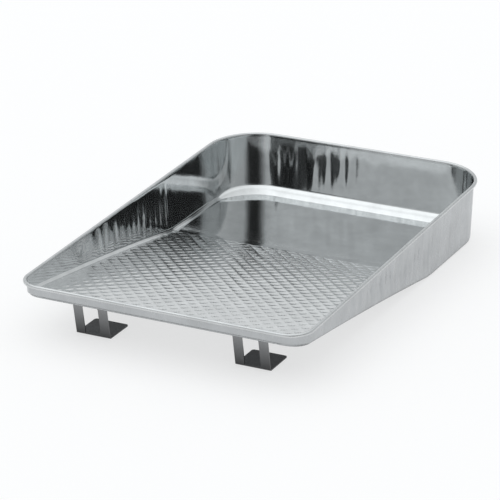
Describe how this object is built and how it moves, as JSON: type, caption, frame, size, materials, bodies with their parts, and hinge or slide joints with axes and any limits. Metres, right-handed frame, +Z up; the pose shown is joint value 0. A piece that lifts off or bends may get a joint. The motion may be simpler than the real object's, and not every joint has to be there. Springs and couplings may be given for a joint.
{
  "type": "paint roller tray",
  "caption": "Deep-well sheet-steel paint roller tray with an embossed ramp, a rolled rim and window-faced ladder legs under its front edge.",
  "frame": {"origin": "on the ground under the middle of the tray's outline", "axes": "+X to the tray's right, +Y from the shallow front lip towards the deep well, +Z up"},
  "size_m": [0.28, 0.428, 0.0624],
  "materials": {
    "pan_tinplate": "bright tin-plated steel, near mirror, with faint drawing marks",
    "leg_steel": "plain galvanised steel strip, satin"
  },
  "bodies": {
    "root": {"tray_pan": "pan_tinplate", "left_ladder_leg": "leg_steel", "right_ladder_leg": "leg_steel"}
  },
  "joints": []
}
